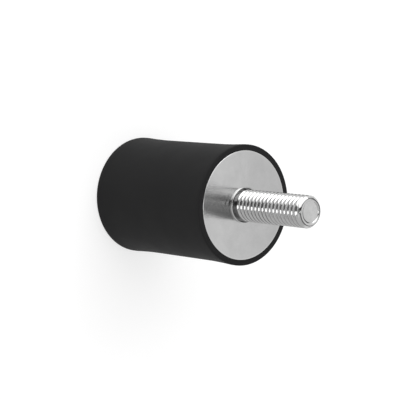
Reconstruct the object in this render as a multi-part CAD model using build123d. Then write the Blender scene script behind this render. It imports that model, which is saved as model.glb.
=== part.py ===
"""Bobbin vibration mount: a rubber cylinder moulded on to two steel end plates.

One end carries a threaded stud and the other a blind tapped bush. The mount stands
on its tapped end at Z = 0, and the stud points up along +Z. Millimetres throughout.
"""

from build123d import *
import math
import os

# Rubber body
body_diameter = 30.0
body_height = 40.0  # between the outer faces of the two plates
waist_depth = 0.32  # how far the middle is drawn in, on the radius
waist_run = 9.5  # length of the curve that leads into the waist at each end
rim_land = 1.0  # straight band of full diameter at each end
rim_radius = 0.25  # rounding of the outer corners
skin = 1.4  # rubber around the edge of each plate

# End plates, blanked from steel strip
plate_thickness = 2.0
plate_corner = 0.3  # rounding on the rubber side, from blanking

# Stud, pressed through its plate from the rubber side
stud_length = 23.0  # from the outer face of the plate
stud_diameter = 7.9  # over the thread crests of an M8 stud
thread_height = 0.65  # from the crests down to the plain neck
stud_neck_length = 0.6
stud_tip_chamfer = 0.75  # at 45 degrees
tip_rim_width = 0.4  # flat rim round the dished tip
tip_dish_run = 0.45  # slope from that rim down to the flat bottom of the dish
tip_dish_depth = 0.21

# Collar of the stud, which fills the hole in the plate and stands proud of it as a lip
collar_margin = 0.55  # how far the collar stands out past the thread crests
lip_height = 0.36
lip_width = 0.25
lip_corner = 0.12
groove_width = 0.55  # slope from the crown of the lip down to the face of the plate

# Head of the stud, buried in the rubber behind the plate
head_overlap = 2.5  # how far the head reaches past the hole, on the radius
head_height = 3.0
head_corner = 0.5

# Tapped bush, pressed through its plate from the rubber side
bore_diameter = 6.8  # drilled for an M8 thread
thread_depth = 8.0
drill_point_angle = 118.0
mouth_chamfer = 0.8  # countersink at the mouth of the thread
bush_wall = 2.1  # steel around the bore where the bush passes through the plate
bush_shoulder = 1.0  # step that bears on the plate, on the radius
bush_recess = 0.2  # the bush stops short of the outer face of the plate
bush_closed_end = 1.5  # steel left beyond the drill point
bush_corner = 0.5

# Radii and heights that the pieces share
body_radius = body_diameter / 2
plate_radius = body_radius - skin
collar_radius = stud_diameter / 2 + collar_margin
bore_radius = bore_diameter / 2
spigot_radius = bore_radius + bush_wall
stud_plate_bottom = body_height - plate_thickness
bore_end = bush_recess + thread_depth
drill_point_height = bore_radius / math.tan(math.radians(drill_point_angle / 2))


def turned(outline):
    """A solid turned about Z from (radius, height) points joined by straight lines."""
    return turned_curve(Polyline([(radius, 0, height) for radius, height in outline], close=True))


def turned_curve(*edges):
    """The same from edges that close up into an outline in the XZ plane."""
    return revolve(make_face(Curve() + list(edges)), axis=Axis.Z)


def plate(bottom, hole_radius, rubber_side):
    """A round steel plate with a central hole. Its edge on the rubber side is rounded.

    The rubber side is 0 for the lower edge and -1 for the upper one.
    """
    centre = Pos(0, 0, bottom + plate_thickness / 2)
    disc = centre * Cylinder(plate_radius, plate_thickness)
    corner = disc.edges().filter_by(GeomType.CIRCLE).sort_by(Axis.Z)[rubber_side]
    return fillet(corner, plate_corner) - centre * Cylinder(hole_radius, plate_thickness)


def stud():
    """Head, collar, neck, thread cylinder and dished tip, turned in one piece."""
    face = body_height
    head_radius = collar_radius + head_overlap
    head_bottom = stud_plate_bottom - head_height
    lip_inside = collar_radius - lip_width
    crest_radius = stud_diameter / 2
    neck_radius = crest_radius - thread_height
    neck_top = face + stud_neck_length
    tip = face + stud_length
    rim_outside = crest_radius - stud_tip_chamfer
    rim_inside = rim_outside - tip_rim_width
    dish_bottom = tip - tip_dish_depth
    outline = [
        (0, head_bottom),
        (head_radius - head_corner, head_bottom),
        (head_radius, head_bottom + head_corner),
        (head_radius, stud_plate_bottom),
        (collar_radius, stud_plate_bottom),
        (collar_radius, face + lip_height - lip_corner),
        (collar_radius - lip_corner, face + lip_height),
        (lip_inside, face + lip_height),
        (lip_inside - groove_width, face),
        (neck_radius, face),
        (neck_radius, neck_top),
        (crest_radius, neck_top + thread_height),
        (crest_radius, tip - stud_tip_chamfer),
        (rim_outside, tip),
        (rim_inside, tip),
        (rim_inside - tip_dish_run, dish_bottom),
        (0, dish_bottom),
    ]
    return turned(outline)


def bush_outside():
    """The bush with its hole filled in: a spigot in the plate and a wider body behind it."""
    body = spigot_radius + bush_shoulder
    top = bore_end + drill_point_height + bush_closed_end
    outline = [
        (0, bush_recess),
        (spigot_radius, bush_recess),
        (spigot_radius, plate_thickness),
        (body, plate_thickness),
        (body, top - bush_corner),
        (body - bush_corner, top),
        (0, top),
    ]
    return turned(outline)


def bush_hole():
    """The blind hole, drilled for the thread and countersunk at its mouth."""
    outline = [
        (0, bush_recess),
        (bore_radius + mouth_chamfer, bush_recess),
        (bore_radius, bush_recess + mouth_chamfer),
        (bore_radius, bore_end),
        (0, bore_end + drill_point_height),
    ]
    return turned(outline)


def rubber_outside():
    """The outside of the rubber: two rims, and a waist drawn in between them."""
    waist = body_radius - waist_depth
    lower_rim = (body_radius, 0, rim_land)
    lower_waist = (waist, 0, rim_land + waist_run)
    upper_waist = (waist, 0, body_height - rim_land - waist_run)
    upper_rim = (body_radius, 0, body_height - rim_land)
    blank = turned_curve(
        Line((0, 0, 0), (body_radius, 0, 0)),
        Line((body_radius, 0, 0), lower_rim),
        TangentArc(lower_waist, lower_rim, tangent=(0, 0, -1)),
        Line(lower_waist, upper_waist),
        TangentArc(upper_waist, upper_rim, tangent=(0, 0, 1)),
        Line(upper_rim, (body_radius, 0, body_height)),
        Line((body_radius, 0, body_height), (0, 0, body_height)),
        Line((0, 0, body_height), (0, 0, 0)),
    )
    circles = blank.edges().filter_by(GeomType.CIRCLE).sort_by(Axis.Z)
    return fillet([circles[0], circles[-1]], rim_radius)


def main():
    stud_plate = plate(stud_plate_bottom, collar_radius, rubber_side=0)
    tapped_plate = plate(0, spigot_radius, rubber_side=-1)
    threaded_stud = stud()
    tapped_bush = bush_outside() - bush_hole()
    recess = Pos(0, 0, bush_recess / 2) * Cylinder(spigot_radius, bush_recess)
    steel = stud_plate + threaded_stud + tapped_plate + bush_outside()
    rubber_body = rubber_outside() - steel - recess

    os.makedirs("parts", exist_ok=True)
    export_step(rubber_body, "parts/rubber_body.step")
    export_step(stud_plate, "parts/stud_plate.step")
    export_step(threaded_stud, "parts/threaded_stud.step")
    export_step(tapped_plate, "parts/tapped_plate.step")
    export_step(tapped_bush, "parts/tapped_bush.step")


main()
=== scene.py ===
"""Bobbin vibration mount: the finished pieces, their materials and a studio stage.

The pieces are modelled at full size, in metres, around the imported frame. The mount
stands on its tapped end and its stud points up along +Z.
"""

import math

import bpy
from bpy.props import FloatProperty, FloatVectorProperty, PointerProperty
from bpy.types import Operator, Panel, PropertyGroup
from mathutils import Matrix, Vector


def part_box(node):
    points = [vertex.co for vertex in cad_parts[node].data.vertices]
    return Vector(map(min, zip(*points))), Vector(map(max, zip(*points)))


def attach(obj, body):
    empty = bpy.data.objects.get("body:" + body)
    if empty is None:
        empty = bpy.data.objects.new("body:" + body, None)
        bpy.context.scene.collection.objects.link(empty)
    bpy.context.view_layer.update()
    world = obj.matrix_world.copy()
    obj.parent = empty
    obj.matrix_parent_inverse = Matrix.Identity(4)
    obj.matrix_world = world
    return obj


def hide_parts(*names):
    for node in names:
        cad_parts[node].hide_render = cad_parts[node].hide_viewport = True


bl_info = {
    "name": "Bobbin vibration mount",
    "version": (1, 0, 0),
    "blender": (4, 5, 0),
    "location": "View3D > Sidebar > Bobbin mount",
    "description": "Models a rubber bobbin mount with a threaded stud and a tapped bush",
    "category": "Object",
}

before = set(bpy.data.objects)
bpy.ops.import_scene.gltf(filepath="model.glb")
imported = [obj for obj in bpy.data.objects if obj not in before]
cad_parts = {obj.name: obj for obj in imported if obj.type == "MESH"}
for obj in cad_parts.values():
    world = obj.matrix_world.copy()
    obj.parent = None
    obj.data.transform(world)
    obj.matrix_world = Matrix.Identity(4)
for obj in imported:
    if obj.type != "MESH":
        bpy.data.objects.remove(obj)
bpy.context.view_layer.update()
BODY_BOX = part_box("rubber_body")
STUD_PLATE_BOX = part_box("stud_plate")
STUD_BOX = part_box("threaded_stud")
BUSH_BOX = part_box("tapped_bush")

BODY_TOP = BODY_BOX[1].z
ROOT = "root"


def length(name, description, default):
    """A property that holds a size in metres."""
    return FloatProperty(
        name=name,
        description=description,
        default=default,
        min=0.0,
        precision=5,
        subtype="DISTANCE",
        unit="LENGTH",
    )


def angle(name, description, degrees):
    """A property that holds an angle."""
    return FloatProperty(
        name=name, description=description, default=math.radians(degrees), subtype="ANGLE", unit="ROTATION"
    )


def colour(name, description, default):
    """A property that holds a linear colour."""
    return FloatVectorProperty(
        name=name, description=description, default=default, size=3, min=0.0, max=1.0, subtype="COLOR"
    )


class MountRubberSettings(PropertyGroup):
    """Sizes and colour of the moulded rubber."""

    radius: length("Body radius", "Radius of the rubber at its two rims", BODY_BOX[1].x)
    waist_depth: length("Waist depth", "How far the middle is drawn in", 0.00032)
    waist_run: length("Waist run", "Length of the curve that leads into the waist", 0.0095)
    rim_land: length("Rim land", "Straight band of full radius at each end", 0.001)
    rim_radius: length("Rim radius", "Rounding of the outer corners", 0.00025)
    colour: colour("Rubber colour", "Colour of the carbon-filled rubber", (0.0118, 0.0118, 0.0122))


class MountPlateSettings(PropertyGroup):
    """Sizes and colour of the two steel end plates."""

    radius: length("Plate radius", "Radius of both plates", STUD_PLATE_BOX[1].x)
    thickness: length("Thickness", "Thickness of both plates", STUD_PLATE_BOX[1].z - STUD_PLATE_BOX[0].z)
    sheared_edge: length("Sheared edge", "Rounding left by blanking on the outer face", 0.00018)
    inner_corner: length("Inner corner", "Rounding on the rubber side", 0.0003)
    colour: colour("Plate colour", "Colour of the dull zinc on the plates", (0.55, 0.55, 0.55))


class MountStudSettings(PropertyGroup):
    """Sizes and colour of the threaded stud."""

    thread_radius: length("Thread radius", "Radius over the thread crests", 0.00395)
    pitch: length("Pitch", "Distance from one thread to the next", 0.00125)
    root_radius: length("Root radius", "Radius at the bottom of the thread", 0.00323)
    neck_radius: length("Neck radius", "Radius of the plain neck below the thread", 0.00320)
    neck_length: length("Neck length", "Length of the plain neck", 0.00055)
    tip_length: length("Tip length", "Length of the chamfer at the tip", 0.00076)
    tip_crown: length("Tip crown", "Radius of the highest line of the tip's rim", 0.0028)
    tip_roundness: length("Tip roundness", "Rounding of the rim outside its crown", 0.0013)
    tip_fall: angle("Tip fall", "Slope of the rim where it meets the chamfer", 22.0)
    dish_edge: length("Dish edge", "Rounding of the rim inside its crown", 0.00006)
    dish_floor: length("Dish floor", "Radius of the flat floor of the dished tip", 0.00235)
    dish_slope: angle("Dish slope", "Slope of the dish at its rim", 50.0)
    collar_radius: length("Collar radius", "Radius of the collar in the plate", 0.0045)
    thread_start: length("Thread start", "Middle of the lowest thread groove above the plate", 0.001125)
    lip_height: length("Lip height", "How far the collar stands proud of the plate", 0.00036)
    lip_roundness: length("Lip roundness", "Rounding over the crown of the lip", 0.00014)
    lip_foot: length("Lip foot", "Radius where the inside of the lip meets the groove", 0.0037)
    head_corner: length("Head corner", "Chamfer on the head", 0.0005)
    colour: colour("Stud colour", "Colour of the bright zinc on the stud", (0.62, 0.62, 0.62))


class MountBushSettings(PropertyGroup):
    """Sizes of the tapped bush."""

    bore_radius: length("Bore radius", "Radius of the hole before it is tapped", 0.0034)
    thread_radius: length("Thread radius", "Radius at the bottom of the tapped thread", 0.00402)
    thread_depth: length("Thread depth", "Length of the drilled hole", 0.008)
    mouth_chamfer: length("Mouth chamfer", "Countersink at the mouth", 0.0008)
    spigot_radius: length("Spigot radius", "Radius where the bush passes through the plate", 0.0055)
    corner: length("Corner", "Chamfer on the closed end", 0.0005)


class MountStageSettings(PropertyGroup):
    """Camera, floor and light."""

    view_angle: angle("View angle", "Between the line of sight and the axis of the mount", 41.65)
    view_roll: angle("View roll", "Slope of the axis across the picture", 6.02)
    distance: length("Distance", "From the camera to the stud plate, along the line of sight", 0.40195)
    aim_right: length("Aim right", "How far the stud plate lies right of the line of sight", 0.010926)
    aim_down: length("Aim down", "How far the stud plate lies below the line of sight", 0.0012743)
    lens: FloatProperty(name="Lens", description="Focal length in millimetres", default=146.96, min=1.0)
    floor_size: length("Floor size", "Side of the floor", 8.0)
    floor_colour: colour("Floor colour", "Colour of the pale floor", (0.5, 0.5, 0.5))
    floor_lift: FloatProperty(
        name="Floor lift", description="Brings the open floor up to white", default=0.6
    )


SETTINGS = {
    "mount_rubber": MountRubberSettings,
    "mount_plate": MountPlateSettings,
    "mount_stud": MountStudSettings,
    "mount_bush": MountBushSettings,
    "mount_stage": MountStageSettings,
}

TURNING_STEPS = 180
THREAD_STEPS = 84

# Thread form, in degrees and metres
FLANK_ANGLE = 30.0  # between a flank and the plane across the axis
BROKEN_EDGE = 0.00005  # depth of the broken edge between a flank and the crest
OVERSHOOT = 0.00001  # how far a cutter's lines run past the surface that they cut
MOUTH_REACH = 0.0004  # how far a cutter's mouth lies past the crests
DRILL_HALF_ANGLE = 59.0  # between the side of a drill's point and its axis

# Distances within which points are merged
TURNED_MERGE = 1e-6
HELIX_MERGE = 1e-7
CUT_MERGE = 5e-7

FLOOR_GAP = 0.00002  # between the floor and the end that stands on it


# Modelling


def deselect_all():
    """Leaves edit mode and clears the selection."""
    if bpy.context.object and bpy.context.object.mode != "OBJECT":
        bpy.ops.object.mode_set(mode="OBJECT")
    bpy.ops.object.select_all(action="DESELECT")


def arc(centre, radius, start, end, steps):
    """Points on an arc in the (radius, height) plane, from one angle to another in degrees."""
    angles = [math.radians(start + (end - start) * i / steps) for i in range(steps + 1)]
    return [(centre[0] + radius * math.cos(a), centre[1] + radius * math.sin(a)) for a in angles]


def outline_object(name, outline, closed):
    """A chain of edges through (radius, height) points, extruded one edge after another."""
    deselect_all()
    bpy.ops.mesh.primitive_plane_add(size=0.001)
    piece = bpy.context.object
    piece.name = name
    piece.data.name = name
    bpy.ops.object.mode_set(mode="EDIT")
    bpy.ops.mesh.select_mode(type="VERT")
    bpy.ops.mesh.merge(type="CENTER")
    here = Vector((outline[0][0], 0.0, outline[0][1]))
    bpy.ops.transform.translate(value=here)
    for radius, height in outline[1:]:
        there = Vector((radius, 0.0, height))
        bpy.ops.mesh.extrude_region_move(TRANSFORM_OT_translate={"value": there - here})
        here = there
    if closed:
        bpy.ops.mesh.select_all(action="SELECT")
        bpy.ops.mesh.edge_face_add()
        bpy.ops.mesh.delete(type="ONLY_FACE")
    bpy.ops.object.mode_set(mode="OBJECT")
    return piece


def turned(name, outline, steps=TURNING_STEPS):
    """A closed solid turned about Z.

    The outline either starts and ends on the axis or is closed up into a loop.
    """
    on_axis = outline[0][0] == 0.0
    piece = outline_object(name, outline, closed=not on_axis)
    bpy.ops.object.mode_set(mode="EDIT")
    bpy.ops.mesh.select_all(action="SELECT")
    bpy.ops.mesh.spin(steps=steps, angle=math.tau, center=(0, 0, 0), axis=(0, 0, 1))
    bpy.ops.mesh.select_all(action="SELECT")
    bpy.ops.mesh.remove_doubles(threshold=TURNED_MERGE)
    bpy.ops.mesh.normals_make_consistent(inside=False)
    bpy.ops.object.mode_set(mode="OBJECT")
    return piece


def smooth(piece, degrees=30):
    """Smooth shading that keeps edges sharper than the angle and large faces flat."""
    deselect_all()
    piece.select_set(True)
    bpy.context.view_layer.objects.active = piece
    bpy.ops.object.shade_smooth_by_angle(angle=math.radians(degrees))
    weighted = piece.modifiers.new("Flat faces", "WEIGHTED_NORMAL")
    weighted.keep_sharp = True
    weighted.weight = 100
    apply_modifier(piece, weighted)


def apply_modifier(piece, modifier):
    """Turns a modifier's result into the piece's own mesh."""
    deselect_all()
    piece.select_set(True)
    bpy.context.view_layer.objects.active = piece
    bpy.ops.object.modifier_apply(modifier=modifier.name)


def vee(root_radius, mouth_radius, crest_radius, pitch):
    """Section of one thread groove, from its rounded root out to its mouth beyond the crests.

    The flanks stand 60 degrees apart. The groove opens outwards on a stud, and
    inwards in a bush, where the mouth radius is the smaller one.
    """
    outwards = 1.0 if mouth_radius > root_radius else -1.0
    slope = math.tan(math.radians(FLANK_ANGLE))
    crest_half = pitch * 7 / 16  # leaves a crest an eighth of the pitch wide
    apex = crest_radius - outwards * crest_half / slope
    rounding = abs(root_radius - apex)
    centre = root_radius + outwards * rounding
    root = []
    for degrees in (0, 20, 40, 60):
        turn = math.radians(degrees)
        root.append((centre - outwards * rounding * math.cos(turn), rounding * math.sin(turn)))
    flank_end = crest_radius - outwards * BROKEN_EDGE
    flank_half = abs(flank_end - apex) * slope
    half = root + [
        (flank_end, flank_half),
        (crest_radius + outwards * OVERSHOOT, crest_half),
        (mouth_radius, crest_half + OVERSHOOT),
    ]
    return [(r, -h) for r, h in reversed(half)] + half[1:]


def thread_cutter(name, section, pitch, start, turns):
    """A closed helix of the groove's section, right-handed, that rises from the start height."""
    outline = [(radius, height + start) for radius, height in section]
    cutter = outline_object(name, outline, closed=True)
    screw = cutter.modifiers.new("Helix", "SCREW")
    screw.axis = "Z"
    screw.angle = math.tau
    screw.screw_offset = pitch
    screw.iterations = turns
    screw.steps = THREAD_STEPS
    screw.render_steps = THREAD_STEPS
    screw.use_merge_vertices = False
    apply_modifier(cutter, screw)
    bpy.ops.object.mode_set(mode="EDIT")
    bpy.ops.mesh.select_all(action="SELECT")
    bpy.ops.mesh.remove_doubles(threshold=HELIX_MERGE)
    bpy.ops.mesh.fill_holes(sides=0)
    bpy.ops.mesh.select_all(action="SELECT")
    bpy.ops.mesh.normals_make_consistent(inside=False)
    bpy.ops.object.mode_set(mode="OBJECT")
    return cutter


def cut(piece, cutter):
    """Takes the cutter out of the piece and removes the cutter."""
    boolean = piece.modifiers.new("Cut", "BOOLEAN")
    boolean.operation = "DIFFERENCE"
    boolean.solver = "EXACT"
    boolean.object = cutter
    apply_modifier(piece, boolean)
    bpy.data.objects.remove(cutter)
    bpy.ops.object.mode_set(mode="EDIT")
    bpy.ops.mesh.select_all(action="SELECT")
    bpy.ops.mesh.remove_doubles(threshold=CUT_MERGE)
    bpy.ops.object.mode_set(mode="OBJECT")


def finish_piece(piece, node, material, degrees=30):
    """Shades a piece, gives it its finish and lets it stand for its solid in the frame."""
    smooth(piece, degrees)
    piece.data.materials.clear()
    piece.data.materials.append(material)
    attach(piece, ROOT)
    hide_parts(node)


# Outlines of the turned pieces, as (radius, height) points in metres


def waist_curve(body, top):
    """The drawn-in side of the rubber from just above its lower rim to just below its upper one."""
    run = body.waist_run
    bow = (run * run + body.waist_depth * body.waist_depth) / (2 * body.waist_depth)
    waist = body.radius - body.waist_depth
    sweep = math.degrees(math.asin(run / bow))
    steps = 12
    lower = arc((waist + bow, body.rim_land + run), bow, 180 + sweep, 180, steps)
    upper = arc((waist + bow, top - body.rim_land - run), bow, 180, 180 - sweep, steps)
    return lower + upper


def rubber_outline(body, plate, stud, bush):
    """The rubber and the pockets in it that the plates, the stud's head and the bush fill."""
    top = BODY_TOP
    head_radius = STUD_BOX[1].x
    head_bottom = STUD_BOX[0].z
    bush_radius = BUSH_BOX[1].x
    bush_top = BUSH_BOX[1].z
    rim = body.rim_radius
    stud_plate_bottom = top - plate.thickness
    corner = plate.inner_corner
    plate_inside = plate.radius - corner
    core = [
        (0.0, bush_top),
        (bush_radius - bush.corner, bush_top),
        (bush_radius, bush_top - bush.corner),
        (bush_radius, plate.thickness),
    ]
    lower_pocket = arc((plate_inside, plate.thickness - corner), corner, 90, 0, 4)
    lower_rim = [(plate.radius, 0.0)] + arc((body.radius - rim, rim), rim, -90, 0, 5)
    upper_rim = arc((body.radius - rim, top - rim), rim, 0, 90, 5) + [(plate.radius, top)]
    upper_pocket = arc((plate_inside, stud_plate_bottom + corner), corner, 0, -90, 4)
    head = [
        (head_radius, stud_plate_bottom),
        (head_radius, head_bottom + stud.head_corner),
        (head_radius - stud.head_corner, head_bottom),
        (0.0, head_bottom),
    ]
    return core + lower_pocket + lower_rim + waist_curve(body, top) + upper_rim + upper_pocket + head


def plate_outline(plate, hole_radius, outer_face, inner_face):
    """One end plate. Its blanked edge is rounded a little outside and more on the rubber side."""
    inwards = 1.0 if inner_face > outer_face else -1.0
    edge = plate.sheared_edge
    corner = plate.inner_corner
    outside = arc((plate.radius - edge, outer_face + inwards * edge), edge, -90 * inwards, 0, 4)
    inside = arc((plate.radius - corner, inner_face - inwards * corner), corner, 0, 90 * inwards, 4)
    return [(hole_radius, inner_face), (hole_radius, outer_face)] + outside + inside


def stud_outline(stud, plate):
    """Head, collar with its round lip, groove, neck, thread blank and dished tip."""
    face = BODY_TOP
    tip = STUD_BOX[1].z
    head_radius = STUD_BOX[1].x
    head_bottom = STUD_BOX[0].z
    plate_bottom = face - plate.thickness
    rounding = stud.lip_roundness
    crown = (stud.collar_radius - rounding, face + stud.lip_height - rounding)
    neck_top = face + stud.neck_length
    run_in = stud.thread_radius - stud.neck_radius
    foot_break = 0.00008  # chamfer where the lip runs down into the groove
    slope = math.degrees(stud.dish_slope)
    fall = math.degrees(stud.tip_fall)
    rim = arc((stud.tip_crown, tip - stud.tip_roundness), stud.tip_roundness, 90 - fall, 90, 5)
    rim += arc((stud.tip_crown, tip - stud.dish_edge), stud.dish_edge, 90, 90 + slope, 5)[1:]
    bowl_radius = (rim[-1][0] - stud.dish_floor) / math.sin(stud.dish_slope)
    floor_height = rim[-1][1] - bowl_radius * (1 - math.cos(stud.dish_slope))
    bowl = arc((stud.dish_floor, floor_height + bowl_radius), bowl_radius, slope - 90, -90, 6)
    head = [
        (0.0, head_bottom),
        (head_radius - stud.head_corner, head_bottom),
        (head_radius, head_bottom + stud.head_corner),
        (head_radius, plate_bottom),
        (stud.collar_radius, plate_bottom),
    ]
    lip = arc(crown, rounding, 0, 130, 8)
    neck = [
        (stud.lip_foot, face + foot_break),
        (stud.lip_foot - foot_break, face),
        (stud.neck_radius, face),
        (stud.neck_radius, neck_top),
        (stud.thread_radius, neck_top + run_in),
    ]
    end = [(stud.thread_radius, tip - stud.tip_length)] + rim + bowl + [(0.0, floor_height)]
    return head + lip + neck + end


def bush_outline(bush, plate):
    """The bush with its blind hole, turned in one go."""
    face = BUSH_BOX[0].z
    top = BUSH_BOX[1].z
    radius = BUSH_BOX[1].x
    bore_end = face + bush.thread_depth
    point = bush.bore_radius / math.tan(math.radians(DRILL_HALF_ANGLE))
    mouth = bush.bore_radius + bush.mouth_chamfer
    edge = 0.00012  # chamfer on the spigot's outer corner
    return [
        (0.0, bore_end + point),
        (bush.bore_radius, bore_end),
        (bush.bore_radius, face + bush.mouth_chamfer),
        (mouth, face),
        (bush.spigot_radius - edge, face),
        (bush.spigot_radius, face + edge),
        (bush.spigot_radius, plate.thickness),
        (radius, plate.thickness),
        (radius, top - bush.corner),
        (radius - bush.corner, top),
        (0.0, top),
    ]


# Node helpers


def node(tree, kind, x, y, **values):
    """Adds a shader node. Values are its properties, or its inputs where the name is one."""
    made = tree.nodes.new(kind)
    made.location = (x, y)
    for key, value in values.items():
        if hasattr(made, key):
            setattr(made, key, value)
        else:
            made.inputs[key.replace("_", " ").title()].default_value = value
    return made


def group_socket(group, name, direction, kind="NodeSocketFloat", default=None, low=None, high=None):
    """Adds a named input or output to a node group."""
    socket = group.interface.new_socket(name=name, in_out=direction, socket_type=kind)
    if default is not None:
        socket.default_value = default
    if low is not None:
        socket.min_value = low
    if high is not None:
        socket.max_value = high
    return socket


def new_group(name):
    """An empty node group with its input and output nodes."""
    group = bpy.data.node_groups.new(name, "ShaderNodeTree")
    entry = node(group, "NodeGroupInput", -900, 0)
    leave = node(group, "NodeGroupOutput", 500, 0)
    return group, entry, leave


def placed_group(tree, group, x, y, **values):
    """Puts a shared effect into a tree and sets its inputs."""
    made = node(tree, "ShaderNodeGroup", x, y)
    made.node_tree = group
    for key, value in values.items():
        made.inputs[key.replace("_", " ").capitalize()].default_value = value
    return made


def clouds_group():
    """Soft uneven patches, used for the dulling of the zinc and the bloom on the rubber."""
    group, entry, leave = new_group("clouds")
    group_socket(group, "Patch size", "INPUT", default=0.004, low=0.0)
    group_socket(group, "Spread", "INPUT", default=0.2, low=0.0, high=0.5)
    group_socket(group, "Mask", "OUTPUT")
    place = node(group, "ShaderNodeTexCoord", -700, 200)
    scale = node(group, "ShaderNodeMath", -700, -60, operation="DIVIDE")
    scale.inputs[0].default_value = 1.0
    noise = node(group, "ShaderNodeTexNoise", -480, 120, Detail=4.0, Roughness=0.6, Distortion=0.3)
    low = node(group, "ShaderNodeMath", -480, -160, operation="SUBTRACT")
    low.inputs[0].default_value = 0.5
    high = node(group, "ShaderNodeMath", -480, -320, operation="ADD")
    high.inputs[0].default_value = 0.5
    spread = node(group, "ShaderNodeMapRange", -200, 60, interpolation_type="SMOOTHSTEP")
    group.links.new(entry.outputs["Patch size"], scale.inputs[1])
    group.links.new(place.outputs["Object"], noise.inputs["Vector"])
    group.links.new(scale.outputs[0], noise.inputs["Scale"])
    group.links.new(entry.outputs["Spread"], low.inputs[1])
    group.links.new(entry.outputs["Spread"], high.inputs[1])
    group.links.new(noise.outputs["Fac"], spread.inputs["Value"])
    group.links.new(low.outputs[0], spread.inputs["From Min"])
    group.links.new(high.outputs[0], spread.inputs["From Max"])
    group.links.new(spread.outputs["Result"], leave.inputs["Mask"])
    return group


def grain_group():
    """Fine surface grain, stretched along X by the given amount, as a height."""
    group, entry, leave = new_group("grain")
    group_socket(group, "Grain size", "INPUT", default=0.0002, low=0.0)
    group_socket(group, "Stretch", "INPUT", default=1.0, low=0.01)
    group_socket(group, "Height", "OUTPUT")
    place = node(group, "ShaderNodeTexCoord", -700, 200)
    scale = node(group, "ShaderNodeMath", -700, -60, operation="DIVIDE")
    scale.inputs[0].default_value = 1.0
    along = node(group, "ShaderNodeMath", -700, -240, operation="DIVIDE")
    along.inputs[0].default_value = 1.0
    stretch = node(group, "ShaderNodeCombineXYZ", -480, -160, Y=1.0, Z=1.0)
    squeeze = node(group, "ShaderNodeVectorMath", -300, 120, operation="MULTIPLY")
    noise = node(group, "ShaderNodeTexNoise", -80, 120, Detail=3.0, Roughness=0.55)
    group.links.new(entry.outputs["Grain size"], scale.inputs[1])
    group.links.new(entry.outputs["Stretch"], along.inputs[1])
    group.links.new(along.outputs[0], stretch.inputs["X"])
    group.links.new(place.outputs["Object"], squeeze.inputs[0])
    group.links.new(stretch.outputs[0], squeeze.inputs[1])
    group.links.new(squeeze.outputs[0], noise.inputs["Vector"])
    group.links.new(scale.outputs[0], noise.inputs["Scale"])
    group.links.new(noise.outputs["Fac"], leave.inputs["Height"])
    return group


def ring_group():
    """A mask that is full on a ring of a given radius round the axis and fades on both sides."""
    group, entry, leave = new_group("ring")
    group_socket(group, "Radius", "INPUT", default=0.0136, low=0.0)
    group_socket(group, "Half width", "INPUT", default=0.0003, low=0.0)
    group_socket(group, "Fade", "INPUT", default=0.0002, low=0.0)
    group_socket(group, "Mask", "OUTPUT")
    place = node(group, "ShaderNodeTexCoord", -900, 240)
    flatten = node(group, "ShaderNodeVectorMath", -720, 240, operation="MULTIPLY")
    flatten.inputs[1].default_value = (1.0, 1.0, 0.0)
    reach = node(group, "ShaderNodeVectorMath", -540, 240, operation="LENGTH")
    away = node(group, "ShaderNodeMath", -360, 240, operation="SUBTRACT")
    either_side = node(group, "ShaderNodeMath", -180, 240, operation="ABSOLUTE")
    limit = node(group, "ShaderNodeMath", -360, -100, operation="ADD")
    ramp = node(group, "ShaderNodeMapRange", 40, 120, interpolation_type="SMOOTHSTEP")
    ramp.inputs["To Min"].default_value = 1.0
    ramp.inputs["To Max"].default_value = 0.0
    group.links.new(place.outputs["Object"], flatten.inputs[0])
    group.links.new(flatten.outputs[0], reach.inputs[0])
    group.links.new(reach.outputs["Value"], away.inputs[0])
    group.links.new(entry.outputs["Radius"], away.inputs[1])
    group.links.new(away.outputs[0], either_side.inputs[0])
    group.links.new(either_side.outputs[0], ramp.inputs["Value"])
    group.links.new(entry.outputs["Half width"], limit.inputs[0])
    group.links.new(entry.outputs["Fade"], limit.inputs[1])
    group.links.new(entry.outputs["Half width"], ramp.inputs["From Min"])
    group.links.new(limit.outputs[0], ramp.inputs["From Max"])
    group.links.new(ramp.outputs["Result"], leave.inputs["Mask"])
    return group


def shared_group(name):
    """A shared effect, made the first time that it is asked for."""
    makers = {"clouds": clouds_group, "grain": grain_group, "ring": ring_group}
    return bpy.data.node_groups.get(name) or makers[name]()


def new_material(name):
    """A new material, in place of any earlier one of the same name."""
    material = bpy.data.materials.get(name)
    if material:
        bpy.data.materials.remove(material)
    material = bpy.data.materials.new(name)
    material.use_nodes = True
    shader = material.node_tree.nodes["Principled BSDF"]
    shader.location = (500, 200)
    material.node_tree.nodes["Material Output"].location = (800, 200)
    return material, material.node_tree, shader


def tint(tree, mask, dark, light, x, y):
    """A colour that goes from dark to light with a mask."""
    mix = node(tree, "ShaderNodeMix", x, y, data_type="RGBA")
    mix.inputs["A"].default_value = (*dark, 1.0)
    mix.inputs["B"].default_value = (*light, 1.0)
    tree.links.new(mask, mix.inputs["Factor"])
    return mix


def spread_value(tree, mask, low, high, x, y):
    """A value that goes from low to high with a mask."""
    ramp = node(tree, "ShaderNodeMapRange", x, y)
    ramp.inputs["To Min"].default_value = low
    ramp.inputs["To Max"].default_value = high
    tree.links.new(mask, ramp.inputs["Value"])
    return ramp


def height_mask(tree, height, low, high, at_low, at_high, x, y):
    """A mask that goes from one value to another between two heights."""
    ramp = node(tree, "ShaderNodeMapRange", x, y, interpolation_type="SMOOTHSTEP")
    ramp.inputs["From Min"].default_value = low
    ramp.inputs["From Max"].default_value = high
    ramp.inputs["To Min"].default_value = at_low
    ramp.inputs["To Max"].default_value = at_high
    tree.links.new(height, ramp.inputs["Value"])
    return ramp.outputs["Result"]


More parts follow.
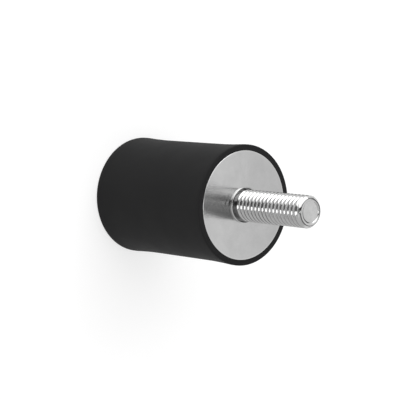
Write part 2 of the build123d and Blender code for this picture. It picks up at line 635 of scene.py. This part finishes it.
def paint_dark_ring(tree, under, ring, within, colour, factor, x, y):
    """Darkens the colour under it where a ring and a height mask are both full. It paints darkness into
    the colour, and is used for painted shade in the stud's recess and a painted dark line at its tip.
    """
    both = node(tree, "ShaderNodeMath", x - 200, y - 700, operation="MULTIPLY")
    with_painted_dark = tint(tree, both.outputs[0], colour, scaled(colour, factor), x, y)
    tree.links.new(ring.outputs["Mask"], both.inputs[0])
    tree.links.new(within, both.inputs[1])
    tree.links.new(under, with_painted_dark.inputs["A"])
    return with_painted_dark.outputs["Result"]


def scaled(values, factor):
    """A colour made lighter or darker."""
    return tuple(min(1.0, value * factor) for value in values)


# Materials


def rubber_material(body):
    """Satin black moulded rubber with a faint uneven bloom and a fine skin."""
    material, tree, shader = new_material("moulded_rubber")
    bloom = placed_group(tree, shared_group("clouds"), -700, 300, patch_size=0.006, spread=0.22)
    skin = placed_group(tree, shared_group("grain"), -700, -60, grain_size=0.00018, stretch=1.0)
    matt = scaled(body.colour, 0.88)
    bloomed = scaled(body.colour, 1.14)
    shade = tint(tree, bloom.outputs["Mask"], matt, bloomed, -300, 300)
    gloss = spread_value(tree, bloom.outputs["Mask"], 0.72, 0.80, -300, 60)
    bump = node(tree, "ShaderNodeBump", -60, -100, Strength=0.35, Distance=0.00002)
    shader.inputs["Specular IOR Level"].default_value = 0.2
    tree.links.new(shade.outputs["Result"], shader.inputs["Base Color"])
    tree.links.new(gloss.outputs["Result"], shader.inputs["Roughness"])
    tree.links.new(skin.outputs["Height"], bump.inputs["Height"])
    tree.links.new(bump.outputs["Normal"], shader.inputs["Normal"])
    return material


def plate_material(plate):
    """Dull zinc on rolled strip: cloudy and faintly grained along X. Painted light makes it lighter
    towards -Y, and the rim is lighter, partly burnish and partly a painted highlight.
    """
    material, tree, shader = new_material("plate_zinc")
    cloud = placed_group(tree, shared_group("clouds"), -900, 300, patch_size=0.005, spread=0.24)
    grain = placed_group(tree, shared_group("grain"), -900, -120, grain_size=0.00016, stretch=14.0)
    ring = shared_group("ring")
    # Partly a burnished edge and partly a painted highlight: the colour is made lighter in a narrow ring
    # at the plate's edge.
    rim = placed_group(tree, ring, -900, 60, radius=plate.radius, half_width=0.0001, fade=0.0004)
    shade = tint(tree, cloud.outputs["Mask"], (0.95, 0.95, 0.95), (1.03, 1.03, 1.03), -500, 300)
    bright = tint(tree, rim.outputs["Mask"], plate.colour, scaled(plate.colour, 1.18), -200, 300)
    gloss = spread_value(tree, cloud.outputs["Mask"], 0.18, 0.14, -500, 60)
    bump = node(tree, "ShaderNodeBump", -200, -140, Strength=0.12, Distance=0.000008)

    # Painted light: the colour runs from lighter at -Y to darker at +Y across the plate.
    place = node(tree, "ShaderNodeTexCoord", -900, -500)
    across = node(tree, "ShaderNodeSeparateXYZ", -700, -500)
    painted_light_drift = node(tree, "ShaderNodeMapRange", -500, -500, interpolation_type="SMOOTHSTEP")
    painted_light_drift.inputs["From Min"].default_value = -plate.radius
    painted_light_drift.inputs["From Max"].default_value = plate.radius
    fresh_and_lit = scaled(plate.colour, 1.08)
    dulled_and_shaded = scaled(plate.colour, 0.94)
    painted_light_across = tint(tree, painted_light_drift.outputs["Result"], fresh_and_lit, dulled_and_shaded, -700, 500)
    tree.links.new(place.outputs["Object"], across.inputs[0])
    tree.links.new(across.outputs["Y"], painted_light_drift.inputs["Value"])

    clouded = node(tree, "ShaderNodeMix", -350, 450, data_type="RGBA", blend_type="MULTIPLY")
    clouded.inputs["Factor"].default_value = 1.0
    tree.links.new(painted_light_across.outputs["Result"], clouded.inputs["A"])
    tree.links.new(shade.outputs["Result"], clouded.inputs["B"])
    tree.links.new(clouded.outputs["Result"], bright.inputs["A"])

    shader.inputs["Metallic"].default_value = 1.0
    tree.links.new(bright.outputs["Result"], shader.inputs["Base Color"])
    tree.links.new(gloss.outputs["Result"], shader.inputs["Roughness"])
    tree.links.new(grain.outputs["Height"], bump.inputs["Height"])
    tree.links.new(bump.outputs["Normal"], shader.inputs["Normal"])
    return material


def thread_material(stud):
    """Bright zinc on a rolled thread, with a dull seam on the crests, painted shade in the recess at its
    foot and a painted dark line round its tip.
    """
    material, tree, shader = new_material("thread_zinc")
    ring = shared_group("ring")
    cloud = placed_group(tree, shared_group("clouds"), -900, 300, patch_size=0.0015, spread=0.22)
    grain = placed_group(tree, shared_group("grain"), -900, -120, grain_size=0.00012, stretch=1.0)
    dulled_and_shaded = scaled(stud.colour, 0.95)
    fresh_and_lit = scaled(stud.colour, 1.04)
    shade = tint(tree, cloud.outputs["Mask"], dulled_and_shaded, fresh_and_lit, -500, 300)
    gloss = spread_value(tree, cloud.outputs["Mask"], 0.14, 0.10, -500, 60)
    bump = node(tree, "ShaderNodeBump", -200, -140, Strength=0.12, Distance=0.000006)

    crest = placed_group(tree, ring, -900, 60, radius=stud.thread_radius, half_width=0.00003, fade=0.00006)
    seam = tint(tree, crest.outputs["Mask"], stud.colour, scaled(stud.colour, 0.42), -200, 300)
    tree.links.new(shade.outputs["Result"], seam.inputs["A"])

    place = node(tree, "ShaderNodeTexCoord", -900, -500)
    height = node(tree, "ShaderNodeSeparateXYZ", -700, -500)
    tree.links.new(place.outputs["Object"], height.inputs[0])

    # Painted shade: the colour is darkened on the neck and in the groove inside the lip, up to about 1 mm
    # above the plate, where shade falls.
    recess = placed_group(tree, ring, -900, -300, radius=0.0034, half_width=0.00022, fade=0.0001)
    recess_full = BODY_TOP + 0.0006
    recess_clear = BODY_TOP + 0.0010
    low = height_mask(tree, height.outputs["Z"], recess_full, recess_clear, 1.0, 0.0, -500, -500)
    with_painted_dark = paint_dark_ring(tree, seam.outputs["Result"], recess, low, stud.colour, 0.6, 0, 300)

    # Painted dark reflection: a dark line is painted round the tip, where its rounded rim meets the
    # chamfer.
    painted_line_radius = stud.tip_crown + stud.tip_roundness * math.sin(stud.tip_fall)
    painted_line_ring = placed_group(tree, ring, -900, -700, radius=painted_line_radius, half_width=0.00005, fade=0.0001)
    painted_line_clear = STUD_BOX[1].z - 0.0005
    painted_line_full = STUD_BOX[1].z - 0.0003
    high = height_mask(tree, height.outputs["Z"], painted_line_clear, painted_line_full, 0.0, 1.0, -500, -700)
    with_painted_tip_line = paint_dark_ring(tree, with_painted_dark, painted_line_ring, high, stud.colour, 0.25, 200, 300)

    shader.inputs["Metallic"].default_value = 1.0
    tree.links.new(with_painted_tip_line, shader.inputs["Base Color"])
    tree.links.new(gloss.outputs["Result"], shader.inputs["Roughness"])
    tree.links.new(grain.outputs["Height"], bump.inputs["Height"])
    tree.links.new(bump.outputs["Normal"], shader.inputs["Normal"])
    return material


def floor_material(stage):
    """A pale floor that shows white to the eye and in reflections, and keeps the shadow."""
    material, tree, shader = new_material("pale_floor")
    shader.inputs["Base Color"].default_value = (*stage.floor_colour, 1.0)
    shader.inputs["Roughness"].default_value = 0.9
    shader.inputs["Specular IOR Level"].default_value = 0.0
    path = node(tree, "ShaderNodeLightPath", -500, 500)
    seen = node(tree, "ShaderNodeMath", -260, 500, operation="MAXIMUM")
    seen_through = node(tree, "ShaderNodeMath", -60, 500, operation="MAXIMUM")
    lift = node(tree, "ShaderNodeMath", 140, 500, operation="MULTIPLY")
    lift.inputs[1].default_value = stage.floor_lift
    glow = node(tree, "ShaderNodeEmission", 340, 500)
    both = node(tree, "ShaderNodeAddShader", 860, 320)
    clear = node(tree, "ShaderNodeBsdfTransparent", 860, 100)
    face = node(tree, "ShaderNodeNewGeometry", 860, 600)
    one_sided = node(tree, "ShaderNodeMixShader", 1080, 320)
    output = tree.nodes["Material Output"]
    output.location = (1300, 320)
    tree.links.new(path.outputs["Is Camera Ray"], seen.inputs[0])
    tree.links.new(path.outputs["Is Glossy Ray"], seen.inputs[1])
    tree.links.new(seen.outputs[0], seen_through.inputs[0])
    tree.links.new(path.outputs["Is Transmission Ray"], seen_through.inputs[1])
    tree.links.new(seen_through.outputs[0], lift.inputs[0])
    tree.links.new(lift.outputs[0], glow.inputs["Strength"])
    tree.links.new(shader.outputs[0], both.inputs[0])
    tree.links.new(glow.outputs[0], both.inputs[1])
    tree.links.new(face.outputs["Backfacing"], one_sided.inputs["Fac"])
    tree.links.new(both.outputs[0], one_sided.inputs[1])
    tree.links.new(clear.outputs[0], one_sided.inputs[2])
    tree.links.new(one_sided.outputs[0], output.inputs["Surface"])
    return material


# Stage


def patch_in_world(tree, towards, inner, outer, x, y):
    """A soft round patch of the surroundings, centred on a direction. Angles in degrees."""
    look = node(tree, "ShaderNodeTexCoord", x, y)
    aim = node(tree, "ShaderNodeVectorMath", x + 180, y, operation="DOT_PRODUCT")
    aim.inputs[1].default_value = Vector(towards).normalized()
    edge = node(tree, "ShaderNodeMapRange", x + 360, y, interpolation_type="SMOOTHSTEP")
    edge.inputs["From Min"].default_value = math.cos(math.radians(outer))
    edge.inputs["From Max"].default_value = math.cos(math.radians(inner))
    tree.links.new(look.outputs["Generated"], aim.inputs[0])
    tree.links.new(aim.outputs["Value"], edge.inputs["Value"])
    return edge.outputs["Result"]


def studio_world():
    """Pale surroundings, grey on the +X side, dark behind and dark overhead on the viewer's side."""
    world = bpy.data.worlds.new("studio")
    bpy.context.scene.world = world
    world.use_nodes = True
    tree = world.node_tree
    pale = (0.9, 0.9, 0.9)
    beside = patch_in_world(tree, (0.65, 0.0, 0.76), 20, 45, -900, -100)
    behind = patch_in_world(tree, (-0.28, 0.90, 0.33), 14, 27, -900, -400)
    overhead = patch_in_world(tree, (-0.22, -0.50, 0.84), 17, 36, -900, 200)
    with_beside = tint(tree, beside, pale, (0.6, 0.6, 0.6), -300, 0)
    with_behind = tint(tree, behind, pale, (0.12, 0.12, 0.12), -150, -200)
    with_overhead = tint(tree, overhead, pale, (0.1, 0.1, 0.1), 0, 100)
    background = tree.nodes["Background"]
    background.location = (300, 100)
    tree.nodes["World Output"].location = (520, 100)
    tree.links.new(with_beside.outputs["Result"], with_behind.inputs["A"])
    tree.links.new(with_behind.outputs["Result"], with_overhead.inputs["A"])
    tree.links.new(with_overhead.outputs["Result"], background.inputs["Color"])


def area_lamp(name, towards, along, distance, width, height, radiance):
    """A soft lamp that faces the stud plate from a direction, with its height along another."""
    bpy.ops.object.light_add(type="AREA")
    lamp = bpy.context.object
    lamp.name = name
    lamp.data.shape = "RECTANGLE"
    lamp.data.size = width
    lamp.data.size_y = height
    lamp.data.energy = radiance * math.pi * width * height
    back = Vector(towards).normalized()
    side = Vector(along).cross(back).normalized()
    lamp.location = back * distance + Vector((0, 0, BODY_TOP))
    lamp.rotation_mode = "QUATERNION"
    lamp.rotation_quaternion = Matrix((side, back.cross(side), back)).transposed().to_quaternion()
    return lamp


def camera(stage):
    """The camera stands on the -Y side, above, and is rolled so that the stud points right."""
    line = Vector((0, math.sin(stage.view_angle), -math.cos(stage.view_angle)))
    level = Vector((0, math.cos(stage.view_angle), math.sin(stage.view_angle)))
    side = Vector((1, 0, 0))
    right = level * math.cos(stage.view_roll) - side * math.sin(stage.view_roll)
    down = level * math.sin(stage.view_roll) + side * math.cos(stage.view_roll)
    plate_centre = Vector((0, 0, BODY_TOP))
    bpy.ops.object.camera_add()
    made = bpy.context.object
    made.name = "main_camera"
    made.location = plate_centre - right * stage.aim_right - down * stage.aim_down - line * stage.distance
    made.rotation_mode = "QUATERNION"
    made.rotation_quaternion = Matrix((right, -down, -line)).transposed().to_quaternion()
    made.data.lens = stage.lens
    made.data.sensor_width = 36.0
    made.data.clip_start = 0.01
    made.data.clip_end = 20.0
    bpy.context.scene.camera = made


# Operators


class MOUNT_OT_rubber_body(Operator):
    """Model the moulded rubber body with its waist and its skin round both plates"""

    bl_idname = "mount.rubber_body"
    bl_label = "Rubber body"

    def execute(self, context):
        scene = context.scene
        outline = rubber_outline(scene.mount_rubber, scene.mount_plate, scene.mount_stud, scene.mount_bush)
        piece = turned("moulded_body", outline)
        finish_piece(piece, "rubber_body", rubber_material(scene.mount_rubber))
        return {"FINISHED"}


class MOUNT_OT_end_plates(Operator):
    """Model the two blanked steel end plates"""

    bl_idname = "mount.end_plates"
    bl_label = "End plates"

    def execute(self, context):
        plate = context.scene.mount_plate
        collar_radius = context.scene.mount_stud.collar_radius
        spigot_radius = context.scene.mount_bush.spigot_radius
        material = plate_material(plate)
        upper = plate_outline(plate, collar_radius, BODY_TOP, BODY_TOP - plate.thickness)
        finish_piece(turned("stud_end_plate", upper), "stud_plate", material)
        lower = plate_outline(plate, spigot_radius, 0.0, plate.thickness)
        finish_piece(turned("tapped_end_plate", lower), "tapped_plate", material)
        return {"FINISHED"}


class MOUNT_OT_threaded_stud(Operator):
    """Model the stud with its head, collar, lip and rolled thread"""

    bl_idname = "mount.threaded_stud"
    bl_label = "Threaded stud"

    def execute(self, context):
        stud = context.scene.mount_stud
        piece = turned("rolled_stud", stud_outline(stud, context.scene.mount_plate))
        section = vee(stud.root_radius, stud.thread_radius + MOUTH_REACH, stud.thread_radius, stud.pitch)
        start = BODY_TOP + stud.thread_start
        turns = math.ceil((STUD_BOX[1].z - start) / stud.pitch) + 1
        cut(piece, thread_cutter("stud_cutter", section, stud.pitch, start, turns))
        finish_piece(piece, "threaded_stud", thread_material(stud), degrees=35)
        return {"FINISHED"}


class MOUNT_OT_tapped_bush(Operator):
    """Model the bush with its blind tapped hole"""

    bl_idname = "mount.tapped_bush"
    bl_label = "Tapped bush"

    def execute(self, context):
        bush = context.scene.mount_bush
        pitch = context.scene.mount_stud.pitch
        piece = turned("turned_bush", bush_outline(bush, context.scene.mount_plate))
        section = vee(bush.thread_radius, bush.bore_radius - MOUTH_REACH, bush.bore_radius, pitch)
        start = BUSH_BOX[0].z - pitch
        turns = math.floor((bush.thread_depth + pitch) / pitch)
        cut(piece, thread_cutter("bush_cutter", section, pitch, start, turns))
        finish_piece(piece, "tapped_bush", bpy.data.materials["thread_zinc"], degrees=35)
        return {"FINISHED"}


class MOUNT_OT_stage(Operator):
    """Set up the pale floor, the soft lamps, the surroundings and the camera"""

    bl_idname = "mount.stage"
    bl_label = "Stage"

    def execute(self, context):
        stage = context.scene.mount_stage
        deselect_all()
        bpy.ops.mesh.primitive_plane_add(size=stage.floor_size, location=(0, 0, -FLOOR_GAP))
        floor = context.object
        floor.name = "floor"
        floor.data.materials.append(floor_material(stage))
        area_lamp(
            "side_softbox",
            towards=(-0.78, -0.17, 0.61),
            along=(0, 0, 1),
            distance=0.9,
            width=1.2,
            height=0.98,
            radiance=1.5,
        )
        area_lamp(
            "overhead_strip",
            towards=(0.07, -0.28, 0.96),
            along=(0, 1, 0),
            distance=0.8,
            width=0.15,
            height=0.36,
            radiance=2.1,
        )
        studio_world()
        camera(stage)
        context.scene.view_settings.view_transform = "Standard"
        return {"FINISHED"}


class VIEW3D_PT_bobbin_mount(Panel):
    """Sidebar panel with the sizes, the colours and one button for each piece"""

    bl_label = "Bobbin mount"
    bl_idname = "VIEW3D_PT_bobbin_mount"
    bl_space_type = "VIEW_3D"
    bl_region_type = "UI"
    bl_category = "Bobbin mount"

    def draw(self, context):
        for operator, group in BUTTONS:
            box = self.layout.box()
            box.operator(operator.bl_idname)
            settings = getattr(context.scene, group)
            for name in settings.__annotations__:
                box.prop(settings, name)


BUTTONS = [
    (MOUNT_OT_rubber_body, "mount_rubber"),
    (MOUNT_OT_end_plates, "mount_plate"),
    (MOUNT_OT_threaded_stud, "mount_stud"),
    (MOUNT_OT_tapped_bush, "mount_bush"),
    (MOUNT_OT_stage, "mount_stage"),
]
CLASSES = [*SETTINGS.values(), *(operator for operator, _ in BUTTONS), VIEW3D_PT_bobbin_mount]


def register():
    for made in CLASSES:
        bpy.utils.register_class(made)
    for name, group in SETTINGS.items():
        setattr(bpy.types.Scene, name, PointerProperty(type=group))


def unregister():
    for name in SETTINGS:
        delattr(bpy.types.Scene, name)
    for made in reversed(CLASSES):
        bpy.utils.unregister_class(made)


def main():
    register()
    bpy.ops.mount.rubber_body()
    bpy.ops.mount.end_plates()
    bpy.ops.mount.threaded_stud()
    bpy.ops.mount.tapped_bush()
    bpy.ops.mount.stage()


if __name__ == "__main__":
    main()
